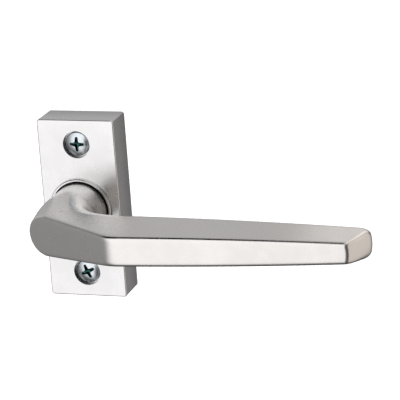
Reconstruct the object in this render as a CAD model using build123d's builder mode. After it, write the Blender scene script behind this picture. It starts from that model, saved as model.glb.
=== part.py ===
from build123d import *
from math import asin, cos, degrees, radians, sin, sqrt, tan
import os

# Lever handle on a narrow rectangular rose, with its bearing, return spring and spindle.
# The origin is on the door face at the axis of the spindle. +Z is up, the grip points
# along +X, and -Y leads out of the door towards the hand. A distance "out" below is
# measured from the door face along -Y. All sizes are millimetres.

# Rose: a cast block, open at the back
rose_width = 35.0
rose_height = 80.0
rose_depth = 15.0
rose_corner_radius = 1.2
rose_edge_radius = 0.5
rose_wall = 3.0
rose_front_wall = 4.0
cavity_corner_radius = 1.5

# Fixing screws, their spring washers, recesses and bosses
fixing_spacing = 58.0
fixing_thread = 5.0
fixing_waist_diameter = 4.4
fixing_head_diameter = 10.8
fixing_head_height = 2.6
fixing_head_crown = 1.1
fixing_reach = 23.0
fixing_end_chamfer = 0.6
fixing_hole_clearance = 0.25
recess_diameter = 12.2
recess_depth = 4.2
washer_diameter = 9.2
washer_thickness = 1.2
washer_slit = 1.0
washer_slit_turn = 12.0
boss_diameter = 13.0
cross_span = 6.6
cross_blade = 1.5
cross_heart = 3.0
cross_depth = 2.0
lower_cross_turn = 25.0

# Collar ring and bearing bush in the front wall
collar_wall = 1.2
neck_gap = 0.5
collar_seat_depth = 1.2
collar_proud = 2.0
collar_edge_chamfer = 0.3
bush_lip_diameter = 23.0
bush_lip_proud = 1.2
bush_flange_height = 0.9
bush_wall = 1.2

# Back plate, its posts and screws, and the rear bush
plate_thickness = 1.5
plate_clearance = 0.1
post_diameter = 6.0
post_x = 11.5
post_z = 19.5
plate_screw_thread = 3.0
plate_screw_head = 5.0
plate_screw_length = 7.5
plate_screw_cross = 2.6
plate_screw_cross_blade = 0.65
plate_screw_cross_depth = 1.3
rear_bush_wall = 1.9
rear_bush_flange = 0.4
rear_bush_flange_width = 1.0

# Shank of the lever, from its journal to the end in the rear bush
journal_diameter = 20.0
running_clearance = 0.05
seat_clearance = 0.02
cam_seat_diameter = 17.0
cam_seat_flats = 14.0
spigot_diameter = 14.0
spigot_end_gap = 0.3
shank_end_gap = 0.1

# Circlip, disc spring, cam and thrust washer, in their order from the door
clip_land = 0.5
clip_thickness = 1.0
clip_groove_depth = 0.45
clip_width = 2.4
clip_lug_radius = 1.8
clip_lug_hole = 0.9
clip_lug_angle = 14.0
clip_gap = 1.8
disc_spring_height = 0.7
disc_spring_thickness = 0.4
disc_spring_diameter = 23.0
cam_thickness = 2.4
cam_diameter = 25.0
cam_ear_radius = 17.6
cam_ear_angle = 20.0
thrust_washer_thickness = 0.5
thrust_washer_margin = 0.2

# Stops of the cam: pins with rubber sleeves
travel_angle = 45.0
stop_pin_diameter = 3.0
stop_radius = 16.0
stop_sleeve_wall = 0.9
stop_sleeve_margin = 0.3
stop_gap_angle = 0.4
pin_seat_depth = 2.4
pin_end_gap = 0.5

# Return spring and the sleeve that guides it
spring_wire = 1.2
spring_turns = 2.0
spring_bend = 0.8
spring_pitch = 1.35
spring_mean_diameter = 25.8
spring_leg_clearance = 0.1
spring_leg_seat = 1.5
spring_cam_gap = 0.3
guide_gap = 0.2

# Rubber ring in the journal
seal_cord = 1.3
seal_corner = 0.3
seal_side_clearance = 0.25
seal_distance = 1.2

# Spindle and the grub screw that holds it
spindle_side = 8.0
spindle_reach = 35.0
spindle_socket_end = 34.0
spindle_end_chamfer = 0.8
grub_thread = 5.0
grub_distance = 8.0
grub_sunk = 1.4
grub_socket = 2.5
grub_socket_depth = 2.4
grub_point_chamfer = 1.0

# Lever, seen along the axis of the spindle: its outline at the plane of the elbow
nose_center_x = -1.7
nose_half_height = 6.6
tip_half_height = 2.83
side_draft = 8.0

# Lever, seen from above: its neck, slanted facet, long face, tip and back
neck_diameter = 24.6
neck_base_chamfer = 0.6
flare_radius = 16.0
lever_reach = 138.9
elbow_x = 31.0
elbow_out = 69.0
elbow_radius = 8.0
facet_angle = 25.7
facet_overrun = 1.65
facet_foot = 1.0
face_angle = 4.93
face_end_x = 130.0
grip_back_out = 46.5
tip_back_out = 43.1
face_edge_radius = 1.0
back_edge_radius = 3.5

# Distances out of the door, worked out from the sizes above
cavity_depth = rose_depth - rose_front_wall
recess_floor = rose_depth - recess_depth
head_seat = recess_floor + washer_thickness
collar_seat = rose_depth - collar_seat_depth
collar_front = rose_depth + collar_proud
neck_base = rose_depth + bush_lip_proud + running_clearance
shank_end = plate_thickness + rear_bush_flange + shank_end_gap
clip_back = shank_end + clip_land
clip_front = clip_back + clip_thickness
cam_back = clip_front + disc_spring_height
cam_front = cam_back + cam_thickness
washer_back = cam_front + running_clearance
bush_back = washer_back + thrust_washer_thickness + running_clearance
seal_out = rose_depth - seal_distance
grub_out = neck_base + grub_distance

# Diameters of what fits into or round another piece
collar_bore = neck_diameter + 2 * neck_gap
collar_diameter = collar_bore + 2 * collar_wall
bush_bore = journal_diameter + 2 * running_clearance
bush_diameter = bush_bore + 2 * bush_wall
thrust_washer_diameter = bush_diameter + 2 * thrust_washer_margin
rear_bush_bore = spigot_diameter + 2 * running_clearance
rear_bush_diameter = rear_bush_bore + 2 * rear_bush_wall
rear_bush_flange_diameter = rear_bush_diameter + 2 * rear_bush_flange_width
groove_diameter = cam_seat_diameter - 2 * clip_groove_depth
clip_bore = groove_diameter + 2 * running_clearance
clip_diameter = clip_bore + 2 * clip_width
guide_diameter = spring_mean_diameter - spring_wire - 2 * guide_gap
fixing_hole = fixing_thread + 2 * fixing_hole_clearance
leg_hole = spring_wire * sqrt(2) + 2 * spring_leg_clearance
socket_side = spindle_side + 2 * running_clearance
stop_sleeve_diameter = stop_pin_diameter + 2 * stop_sleeve_wall
seal_bottom_diameter = journal_diameter - 2 * (seal_cord + running_clearance)

# The ear of the cam stands half the travel to the left of upright when the lever is level.
# Angles round the spindle are turned from +Z towards +X.
ear_rest_angle = -travel_angle / 2
sleeve_half_angle = degrees(asin(stop_sleeve_diameter / 2 / stop_radius))
stop_angle = travel_angle / 2 + cam_ear_angle / 2 + sleeve_half_angle + stop_gap_angle
stop_x = stop_radius * sin(radians(stop_angle))
stop_z = stop_radius * cos(radians(stop_angle))
leg_x = spring_mean_diameter / 2 * sin(radians(ear_rest_angle))
leg_z = spring_mean_diameter / 2 * cos(radians(ear_rest_angle))


def out_plane(distance):
    """A plane parallel to the door, this far out of it, that faces the hand."""
    return Plane.XZ.offset(distance)


# Rose: front wall with the bearing bore, two screw recesses on bosses, four plate posts
with BuildPart() as rose:
    with BuildSketch(Plane.XZ):
        RectangleRounded(rose_width, rose_height, rose_corner_radius)
    extrude(amount=rose_depth)
    fillet(rose.faces().sort_by(Axis.Y)[0].edges(), rose_edge_radius)
    with BuildSketch(Plane.XZ):
        RectangleRounded(rose_width - 2 * rose_wall, rose_height - 2 * rose_wall, cavity_corner_radius)
    extrude(amount=cavity_depth, mode=Mode.SUBTRACT)
    with BuildSketch(Plane.XZ):
        with GridLocations(0, fixing_spacing, 1, 2):
            Circle(boss_diameter / 2)
    extrude(amount=cavity_depth)
    with BuildSketch(out_plane(plate_thickness)):
        with GridLocations(2 * post_x, 2 * post_z, 2, 2):
            Circle(post_diameter / 2)
    extrude(amount=cavity_depth - plate_thickness)
    with BuildSketch(Plane.XZ):
        with GridLocations(0, fixing_spacing, 1, 2):
            Circle(fixing_hole / 2)
        Circle(bush_diameter / 2 + seat_clearance)
    extrude(amount=rose_depth, mode=Mode.SUBTRACT)
    with BuildSketch(out_plane(recess_floor)):
        with GridLocations(0, fixing_spacing, 1, 2):
            Circle(recess_diameter / 2)
    extrude(amount=recess_depth, mode=Mode.SUBTRACT)
    with BuildSketch(out_plane(collar_seat)):
        Circle(collar_diameter / 2 + seat_clearance)
    extrude(amount=collar_seat_depth, mode=Mode.SUBTRACT)
    with BuildSketch(out_plane(plate_thickness)):
        with GridLocations(2 * post_x, 2 * post_z, 2, 2):
            Circle(plate_screw_thread / 2 + seat_clearance)
    extrude(amount=plate_screw_length, mode=Mode.SUBTRACT)
    with BuildSketch(out_plane(cavity_depth)):
        with Locations((-stop_x, stop_z), (stop_x, stop_z)):
            Circle(stop_pin_diameter / 2 + seat_clearance)
    extrude(amount=pin_seat_depth, mode=Mode.SUBTRACT)
    with BuildSketch(out_plane(cavity_depth)):
        with Locations((leg_x, leg_z)):
            Circle(leg_hole / 2)
    extrude(amount=spring_leg_seat, mode=Mode.SUBTRACT)
rose.part.label = "rose"

# Collar: a ring pressed into the front of the rose, standing a little proud of it
with BuildPart() as collar:
    with BuildSketch(out_plane(collar_seat)):
        Circle(collar_diameter / 2)
        Circle(collar_bore / 2, mode=Mode.SUBTRACT)
    extrude(amount=collar_front - collar_seat)
    chamfer(collar.faces().sort_by(Axis.Y)[0].edges(), collar_edge_chamfer)
collar.part.label = "collar"

# Bearing bush: a barrel through the front wall, a flange inside the collar, and a lip
# that the neck of the lever turns against
with BuildPart() as bearing_bush:
    with BuildSketch(out_plane(bush_back)):
        Circle(bush_diameter / 2)
    extrude(amount=collar_seat - bush_back)
    with BuildSketch(out_plane(collar_seat)):
        Circle(collar_bore / 2 - seat_clearance)
    extrude(amount=bush_flange_height)
    with BuildSketch(out_plane(collar_seat)):
        Circle(bush_lip_diameter / 2)
    extrude(amount=collar_seat_depth + bush_lip_proud)
    with BuildSketch(out_plane(bush_back)):
        Circle(bush_bore / 2)
    extrude(amount=neck_base - bush_back, mode=Mode.SUBTRACT)
bearing_bush.part.label = "bearing_bush"

# Back plate: closes the rose, flush with its back, and carries the rear bush
with BuildPart() as back_plate:
    with BuildSketch(Plane.XZ):
        RectangleRounded(
            rose_width - 2 * rose_wall - 2 * plate_clearance,
            rose_height - 2 * rose_wall - 2 * plate_clearance,
            cavity_corner_radius,
        )
        Circle(rear_bush_diameter / 2 + seat_clearance, mode=Mode.SUBTRACT)
        with GridLocations(0, fixing_spacing, 1, 2):
            Circle(boss_diameter / 2 + plate_clearance, mode=Mode.SUBTRACT)
    extrude(amount=plate_thickness)
    with Locations(Plane((0, 0, 0), x_dir=(1, 0, 0), z_dir=(0, 1, 0))):
        with GridLocations(2 * post_x, 2 * post_z, 2, 2):
            CounterSinkHole(
                plate_screw_thread / 2 + plate_clearance,
                plate_screw_head / 2 + plate_clearance,
                depth=plate_thickness,
                counter_sink_angle=90,
            )
back_plate.part.label = "back_plate"

# Rear bush: holds the spigot of the lever in the back plate
with BuildPart() as rear_bush:
    with BuildSketch(Plane.XZ):
        Circle(rear_bush_diameter / 2)
    extrude(amount=plate_thickness)
    with BuildSketch(out_plane(plate_thickness)):
        Circle(rear_bush_flange_diameter / 2)
    extrude(amount=rear_bush_flange)
    with BuildSketch(Plane.XZ):
        Circle(rear_bush_bore / 2)
    extrude(amount=plate_thickness + rear_bush_flange, mode=Mode.SUBTRACT)
rear_bush.part.label = "rear_bush"

# Back plate screws: four countersunk screws with their heads flush at the back
with BuildPart() as back_plate_screws:
    cone_depth = (plate_screw_head - plate_screw_thread) / 2
    for side_x in (-post_x, post_x):
        for side_z in (-post_z, post_z):
            with Locations(Plane((side_x, 0, side_z), z_dir=(0, -1, 0))):
                Cylinder(
                    plate_screw_thread / 2,
                    plate_thickness + plate_screw_length - pin_end_gap,
                    align=(Align.CENTER, Align.CENTER, Align.MIN),
                )
                Cone(
                    plate_screw_head / 2,
                    plate_screw_thread / 2,
                    cone_depth,
                    align=(Align.CENTER, Align.CENTER, Align.MIN),
                )
    with BuildSketch(Plane.XZ):
        with GridLocations(2 * post_x, 2 * post_z, 2, 2):
            SlotOverall(plate_screw_cross, plate_screw_cross_blade)
            SlotOverall(plate_screw_cross, plate_screw_cross_blade, rotation=90)
    extrude(amount=plate_screw_cross_depth, mode=Mode.SUBTRACT)
back_plate_screws.part.label = "back_plate_screws"

# Fixing screws: domed heads with cross recesses, sunk in the rose, waists through it, and
# threads that start at the door face
with BuildPart() as fixing_screws:
    for height, turn in ((fixing_spacing / 2, 0.0), (-fixing_spacing / 2, lower_cross_turn)):
        crown = head_seat + fixing_head_height
        rim = crown - fixing_head_crown
        with BuildSketch(Plane.YZ) as half_head:
            with BuildLine():
                Polyline(
                    (-crown, height),
                    (-head_seat, height),
                    (-head_seat, height + fixing_head_diameter / 2),
                    (-rim, height + fixing_head_diameter / 2),
                )
                TangentArc(
                    (-crown, height), (-rim, height + fixing_head_diameter / 2), tangent=(0, 1)
                )
            make_face()
        revolve(axis=Axis((0, 0, height), (0, 1, 0)))
        with BuildSketch(Plane((0, fixing_reach, height), x_dir=(1, 0, 0), z_dir=(0, -1, 0))):
            Circle(fixing_thread / 2)
        extrude(amount=fixing_reach)
        with BuildSketch(Plane((0, 0, height), x_dir=(1, 0, 0), z_dir=(0, -1, 0))):
            Circle(fixing_waist_diameter / 2)
        extrude(amount=head_seat)
        end_edges = fixing_screws.edges().filter_by(GeomType.CIRCLE)
        chamfer(end_edges.sort_by_distance((0, fixing_reach, height))[0], fixing_end_chamfer)
        cross_plane = Plane((0, -crown, height), x_dir=(1, 0, 0), z_dir=(0, -1, 0)).rotated((0, 0, turn))
        with BuildSketch(cross_plane):
            SlotOverall(cross_span, cross_blade)
            SlotOverall(cross_span, cross_blade, rotation=90)
            Circle(cross_heart / 2)
        extrude(amount=-cross_depth, mode=Mode.SUBTRACT)
fixing_screws.part.label = "fixing_screws"

# Fixing washers: split spring washers under the two heads
with BuildPart() as fixing_washers:
    with BuildSketch(out_plane(recess_floor)):
        with GridLocations(0, fixing_spacing, 1, 2):
            Circle(washer_diameter / 2)
            Circle(fixing_hole / 2, mode=Mode.SUBTRACT)
        with Locations((washer_diameter / 2, 0)):
            with GridLocations(0, fixing_spacing, 1, 2):
                Rectangle(washer_diameter, washer_slit, rotation=washer_slit_turn, mode=Mode.SUBTRACT)
    extrude(amount=washer_thickness)
fixing_washers.part.label = "fixing_washers"

# Stop pins: pressed into the front wall from inside, one on each side of the ear
with BuildPart() as stop_pins:
    with BuildSketch(out_plane(plate_thickness + pin_end_gap)):
        with Locations((-stop_x, stop_z), (stop_x, stop_z)):
            Circle(stop_pin_diameter / 2)
    extrude(amount=cavity_depth + pin_seat_depth - plate_thickness - 2 * pin_end_gap)
stop_pins.part.label = "stop_pins"

# Stop sleeves: rubber sleeves on the pins, level with the cam, that quieten the stops
with BuildPart() as stop_sleeves:
    with BuildSketch(out_plane(cam_back - stop_sleeve_margin)):
        with Locations((-stop_x, stop_z), (stop_x, stop_z)):
            Circle(stop_sleeve_diameter / 2)
            Circle(stop_pin_diameter / 2 + seat_clearance, mode=Mode.SUBTRACT)
    extrude(amount=cam_thickness + 2 * stop_sleeve_margin)
stop_sleeves.part.label = "stop_sleeves"

# Spring guide: a plastic sleeve round the barrel of the bush, under the coils
with BuildPart() as spring_guide:
    with BuildSketch(out_plane(bush_back)):
        Circle(guide_diameter / 2)
        Circle(bush_diameter / 2 + seat_clearance, mode=Mode.SUBTRACT)
    extrude(amount=cavity_depth - bush_back - running_clearance)
spring_guide.part.label = "spring_guide"

# Return spring: a torsion spring of square wire, one leg in the ear of the cam and one in
# the rose
with BuildPart() as return_spring:
    coil_back = cam_front + spring_cam_gap + spring_wire / 2
    bend_angle = degrees(asin(spring_bend / spring_mean_diameter))
    coil_turns = spring_turns - 2 * bend_angle / 360
    coil_front = coil_back + coil_turns * spring_pitch
    with BuildLine() as coil:
        helix = Helix(
            spring_pitch,
            coil_front - coil_back,
            spring_mean_diameter / 2,
            center=(0, -coil_back, 0),
            direction=(0, -1, 0),
            mode=Mode.PRIVATE,
        )
        add(helix.rotate(Axis.Y, ear_rest_angle + 180 - bend_angle))
    coil_start = coil.line @ 0
    with BuildSketch(Plane(coil_start, x_dir=(coil_start.X, 0, coil_start.Z), z_dir=coil.line % 0)):
        Rectangle(spring_wire, spring_wire)
    sweep(path=coil.line, is_frenet=True)
    with BuildSketch(out_plane(cam_back + spring_cam_gap)):
        with Locations(Location((leg_x, leg_z), -ear_rest_angle)):
            Rectangle(spring_wire, spring_wire)
    extrude(amount=coil_back + spring_wire / 2 - cam_back - spring_cam_gap)
    with BuildSketch(out_plane(coil_front - spring_wire / 2)):
        with Locations(Location((leg_x, leg_z), -ear_rest_angle)):
            Rectangle(spring_wire, spring_wire)
    extrude(amount=cavity_depth + spring_leg_seat - spring_leg_clearance - coil_front + spring_wire / 2)
return_spring.part.label = "return_spring"

# Thrust washer: between the back of the bush and the cam
with BuildPart() as thrust_washer:
    with BuildSketch(out_plane(washer_back)):
        Circle(thrust_washer_diameter / 2)
        Circle(bush_bore / 2, mode=Mode.SUBTRACT)
    extrude(amount=thrust_washer_thickness)
thrust_washer.part.label = "thrust_washer"

# Lever blank: the outline seen from the hand, drafted on all sides towards the door
with BuildPart() as lever_blank:
    elbow_plane = Plane((0, -elbow_out, 0), x_dir=(1, 0, 0), z_dir=(0, 1, 0))
    with BuildSketch(elbow_plane):
        with BuildLine():
            top = (nose_center_x, nose_half_height)
            bottom = (nose_center_x, -nose_half_height)
            TangentArc(top, (lever_reach, tip_half_height), tangent=(1, 0))
            Line((lever_reach, tip_half_height), (lever_reach, -tip_half_height))
            TangentArc(bottom, (lever_reach, -tip_half_height), tangent=(1, 0))
            ThreePointArc(top, (nose_center_x - nose_half_height, 0), bottom)
        make_face()
    extrude(amount=elbow_out - neck_base, taper=-side_draft)

# Neck flare: the hollow curve from the neck to the back of the grip, on the grip's side
flare_out = grip_back_out - flare_radius
flare_end_x = neck_diameter / 2 + flare_radius
with BuildPart() as neck_flare:
    with BuildSketch(Plane.XY):
        with BuildLine():
            Polyline((0, -grip_back_out), (0, -flare_out), (neck_diameter / 2, -flare_out))
            TangentArc((neck_diameter / 2, -flare_out), (flare_end_x, -grip_back_out), tangent=(0, -1))
            Line((flare_end_x, -grip_back_out), (0, -grip_back_out))
        make_face()
    revolve(axis=Axis.Y)
    split(bisect_by=Plane.YZ, keep=Keep.TOP)

# Lever: one casting. The plan of the grip, the round neck and the flare are cut to the
# drafted blank, the edges are rounded, and the shank behind the neck is turned
facet_start_x = -neck_diameter / 2 - facet_overrun
facet_start_out = elbow_out - (elbow_x - facet_start_x) * tan(radians(facet_angle))
face_end_out = elbow_out - (face_end_x - elbow_x) * tan(radians(face_angle))
back_end_out = (grip_back_out + face_end_out) / 2
with BuildPart() as lever:
    with BuildSketch(Plane.XY):
        with BuildLine():
            FilletPolyline(
                (facet_start_x, -facet_start_out),
                (elbow_x, -elbow_out),
                (face_end_x, -face_end_out),
                radius=elbow_radius,
            )
            Polyline(
                (face_end_x, -face_end_out),
                (lever_reach, -tip_back_out),
                (flare_end_x, -grip_back_out),
                (0, -grip_back_out),
                (facet_start_x, facet_foot - facet_start_out),
                (facet_start_x, -facet_start_out),
            )
        make_face()
    extrude(amount=neck_diameter, both=True)
    with BuildSketch(out_plane(neck_base)):
        Circle(neck_diameter / 2)
    extrude(amount=grip_back_out - neck_base)
    chamfer(lever.faces().sort_by(Axis.Y)[-1].edges(), neck_base_chamfer)
    add(neck_flare.part)
    add(lever_blank.part, mode=Mode.INTERSECT)

    back_edges = lever.edges().filter_by(lambda edge: flare_out < -(edge @ 0.5).Y < back_end_out)
    back_edges = back_edges.filter_by(lambda edge: (edge @ 0.5).X > flare_radius / 2)
    tip_edge = back_edges.filter_by(GeomType.LINE).sort_by(Axis.X)[-1:]
    fillet(back_edges.filter_by(GeomType.BSPLINE) + tip_edge, back_edge_radius)
    front_faces = lever.faces().filter_by(lambda face: -face.center().Y > back_end_out)
    front_faces = front_faces.filter_by(lambda face: abs(face.center().Z) < seat_clearance)
    front_faces = front_faces.filter_by(lambda face: face.geom_type in (GeomType.PLANE, GeomType.CYLINDER))
    rim_edges = front_faces.edges().filter_by(GeomType.LINE, reverse=True)
    straight_edges = lever.edges().filter_by(GeomType.LINE)
    face_end_edge = straight_edges.sort_by_distance((face_end_x, -face_end_out, 0))[:1]
    fillet(rim_edges + face_end_edge, face_edge_radius)

    with BuildSketch(out_plane(cam_front)):
        Circle(journal_diameter / 2)
    extrude(amount=neck_base - cam_front)
    with BuildSketch(out_plane(shank_end)):
        Circle(cam_seat_diameter / 2)
        Rectangle(cam_seat_diameter, cam_seat_flats, mode=Mode.INTERSECT)
    extrude(amount=cam_front - shank_end)
    with BuildSketch(out_plane(spigot_end_gap)):
        Circle(spigot_diameter / 2)
    extrude(amount=shank_end - spigot_end_gap)
    with BuildSketch(out_plane(clip_back)):
        Circle(cam_seat_diameter)
        Circle(groove_diameter / 2, mode=Mode.SUBTRACT)
    extrude(amount=clip_thickness, mode=Mode.SUBTRACT)
    with BuildSketch(out_plane(seal_out - seal_cord / 2 - seal_side_clearance)):
        Circle(journal_diameter)
        Circle(seal_bottom_diameter / 2, mode=Mode.SUBTRACT)
    extrude(amount=seal_cord + 2 * seal_side_clearance, mode=Mode.SUBTRACT)
    with BuildSketch(Plane.XZ):
        Rectangle(socket_side, socket_side)
    extrude(amount=spindle_socket_end, mode=Mode.SUBTRACT)
    with BuildSketch(Plane.XY.offset(-neck_diameter)):
        with Locations((0, -grub_out)):
            Circle(grub_thread / 2 + seat_clearance)
    extrude(amount=neck_diameter, mode=Mode.SUBTRACT)
lever.part.label = "lever"

# Neck seal: a square rubber ring with cut corners, in the groove of the journal, inside the
# flange of the bush
with BuildPart() as neck_seal:
    with BuildSketch(Plane.XY):
        with Locations((seal_bottom_diameter / 2 + seat_clearance + seal_cord / 2, -seal_out)):
            Rectangle(seal_cord, seal_cord)
        chamfer(vertices(), seal_corner)
    revolve(axis=Axis.Y)
neck_seal.part.label = "neck_seal"

# Drive cam: a stamped plate on the flats of the shank, with an ear between the stops
with BuildPart() as drive_cam:
    ear_start = radians(ear_rest_angle - cam_ear_angle / 2)
    ear_middle = radians(ear_rest_angle)
    ear_end = radians(ear_rest_angle + cam_ear_angle / 2)
    with BuildSketch(out_plane(cam_back)):
        Circle(cam_diameter / 2)
        with BuildLine():
            ear_tips = [
                (cam_ear_radius * sin(angle), cam_ear_radius * cos(angle))
                for angle in (ear_start, ear_middle, ear_end)
            ]
            ThreePointArc(*ear_tips)
            Polyline(ear_tips[2], (0, 0), ear_tips[0])
        make_face()
        with BuildSketch(mode=Mode.SUBTRACT):
            Circle(cam_seat_diameter / 2 + running_clearance)
            Rectangle(
                2 * cam_seat_diameter,
                cam_seat_flats + 2 * running_clearance,
                mode=Mode.INTERSECT,
            )
        with Locations((leg_x, leg_z)):
            Circle(leg_hole / 2, mode=Mode.SUBTRACT)
    extrude(amount=cam_thickness)
drive_cam.part.label = "drive_cam"

# Disc spring: a shallow cone between the circlip and the cam that takes up the end play
with BuildPart() as disc_spring:
    disc_inner = cam_seat_diameter / 2 + plate_clearance
    disc_outer = disc_spring_diameter / 2
    with BuildSketch(Plane.XY):
        with BuildLine():
            Polyline(
                (disc_inner, -clip_front),
                (disc_outer, -cam_back + disc_spring_thickness),
                (disc_outer, -cam_back),
                (disc_inner, -clip_front - disc_spring_thickness),
                close=True,
            )
        make_face()
    revolve(axis=Axis.Y)
disc_spring.part.label = "disc_spring"

# Circlip: an open ring with two drilled lugs, in the groove at the end of the shank
with BuildPart() as circlip:
    lug_x = clip_diameter / 2 * sin(radians(clip_lug_angle))
    lug_z = clip_diameter / 2 * cos(radians(clip_lug_angle))
    lug_left = (-lug_x, -lug_z)
    lug_right = (lug_x, -lug_z)
    with BuildSketch(out_plane(clip_back)):
        Circle(clip_diameter / 2)
        with Locations(lug_left, lug_right):
            Circle(clip_lug_radius)
            Circle(clip_lug_hole / 2, mode=Mode.SUBTRACT)
        Circle(clip_bore / 2, mode=Mode.SUBTRACT)
        with Locations((0, -clip_diameter / 2)):
            Rectangle(clip_gap, clip_bore, mode=Mode.SUBTRACT)
    extrude(amount=clip_thickness)
circlip.part.label = "circlip"

# Spindle: a square bar from inside the neck, through the rose, into the door
with BuildPart() as spindle:
    with BuildSketch(out_plane(-spindle_reach)):
        Rectangle(spindle_side, spindle_side)
    extrude(amount=spindle_reach + spindle_socket_end - plate_clearance)
    chamfer(spindle.faces().sort_by(Axis.Y)[0].edges(), spindle_end_chamfer)
    chamfer(spindle.faces().sort_by(Axis.Y)[-1].edges(), spindle_end_chamfer)
spindle.part.label = "spindle"

# Grub screw: clamps the spindle from below the neck, sunk under its surface
with BuildPart() as grub_screw:
    grub_foot = neck_diameter / 2 - grub_sunk
    with BuildSketch(Plane.XY.offset(-grub_foot)):
        with Locations((0, -grub_out)):
            Circle(grub_thread / 2)
    extrude(amount=grub_foot - spindle_side / 2 - running_clearance)
    chamfer(grub_screw.faces().sort_by(Axis.Z)[-1].edges(), grub_point_chamfer)
    with BuildSketch(Plane.XY.offset(-grub_foot)):
        with Locations((0, -grub_out)):
            RegularPolygon(grub_socket / 2, 6, major_radius=False)
    extrude(amount=grub_socket_depth, mode=Mode.SUBTRACT)
grub_screw.part.label = "grub_screw"

os.makedirs("parts", exist_ok=True)
for piece in (
    rose,
    collar,
    bearing_bush,
    back_plate,
    rear_bush,
    back_plate_screws,
    fixing_screws,
    fixing_washers,
    stop_pins,
    stop_sleeves,
    spring_guide,
    return_spring,
    thrust_washer,
    lever,
    neck_seal,
    drive_cam,
    disc_spring,
    circlip,
    spindle,
    grub_screw,
):
    export_step(piece.part, f"parts/{piece.part.label}.step")
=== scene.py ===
"""Dresses the lever handle set: finishes for every piece, fine pieces for the lever and the
fixing screws, the studio round it and the camera. It is laid out as an add-on and run as a
script."""

import math

import bpy
import numpy as np
from bpy.props import FloatProperty, FloatVectorProperty, PointerProperty
from mathutils import Matrix, Vector


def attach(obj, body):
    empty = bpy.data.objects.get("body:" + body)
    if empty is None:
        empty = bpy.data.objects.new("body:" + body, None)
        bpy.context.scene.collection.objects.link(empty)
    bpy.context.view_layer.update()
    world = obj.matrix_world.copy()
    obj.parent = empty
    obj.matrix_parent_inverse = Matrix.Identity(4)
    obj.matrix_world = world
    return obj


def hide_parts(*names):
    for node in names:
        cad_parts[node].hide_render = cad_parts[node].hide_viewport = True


bl_info = {
    "name": "Lever handle set",
    "version": (1, 0, 0),
    "blender": (4, 5, 0),
    "location": "3D Viewport > Sidebar > Handle",
    "description": "Finishes and fine pieces for a lever handle on a narrow rose",
    "category": "Object",
}

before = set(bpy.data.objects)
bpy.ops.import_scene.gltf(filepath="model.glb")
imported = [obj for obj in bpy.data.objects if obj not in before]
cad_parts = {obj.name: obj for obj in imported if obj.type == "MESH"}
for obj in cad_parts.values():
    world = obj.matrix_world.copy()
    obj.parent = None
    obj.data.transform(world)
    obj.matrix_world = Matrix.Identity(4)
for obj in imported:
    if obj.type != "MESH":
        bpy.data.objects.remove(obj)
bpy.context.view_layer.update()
MM = 0.001


def size(name, description, default):
    """A length that a user may change, in metres."""
    return FloatProperty(name=name, description=description, default=default, unit="LENGTH", precision=5)


def degrees(name, description, default):
    """An angle that a user may change, given in degrees."""
    return FloatProperty(
        name=name, description=description, default=math.radians(default), subtype="ANGLE"
    )


def share(name, description, default):
    """A number from 0 to 1 that a user may change."""
    return FloatProperty(
        name=name, description=description, default=default, min=0, max=1, subtype="FACTOR"
    )


def colour(name, description, default):
    """A colour that a user may change."""
    return FloatVectorProperty(
        name=name, description=description, default=default, subtype="COLOR", min=0, max=1
    )


class MetalFinish(bpy.types.PropertyGroup):
    """Colours and grain of the anodised castings and of the small metal pieces."""

    lever_tone: colour("Lever", "Colour of the anodised lever", (0.80, 0.785, 0.765))
    rose_tone: colour("Rose", "Colour of the anodised rose", (0.80, 0.80, 0.80))
    zinc_tone: colour("Screws", "Colour of the blue zinc on the fixing screws", (0.70, 0.755, 0.79))
    # Painted shade: a near black colour deep in the cross of a fixing screw stands in for the shade there
    recess_shade_tone: colour("Recess", "Colour deep in the cross of a fixing screw", (0.03, 0.10, 0.095))
    plate_tone: colour("Plated steel", "Colour of the plated plate, cam and spindle", (0.56, 0.56, 0.54))
    spring_tone: colour("Spring steel", "Colour of the oiled spring steel", (0.20, 0.20, 0.21))
    grain: size("Grain", "Width of one dimple of the blasted surface", 0.35 * MM)
    satin: share("Satin", "Roughness of the anodised surface", 0.28)
    # Painted shade: the rose's colour is darkened towards the door. Foot is its tone at the door, as a
    # share of its tone in front, and the fade says where the full tone starts
    foot: share("Foot", "Tone of the rose at the door, as a share of its tone in front", 0.74)
    foot_shade_fade: size("Foot fade", "Where the rose has its full tone, out of the door", 13.5 * MM)


class SoftFinish(bpy.types.PropertyGroup):
    """Colours of the plastic bushes and the rubber pieces."""

    bush_tone: colour("Bushes", "Colour of the black acetal", (0.028, 0.029, 0.031))
    rubber_tone: colour("Rubber", "Colour of the rubber pieces", (0.018, 0.018, 0.019))


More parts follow.
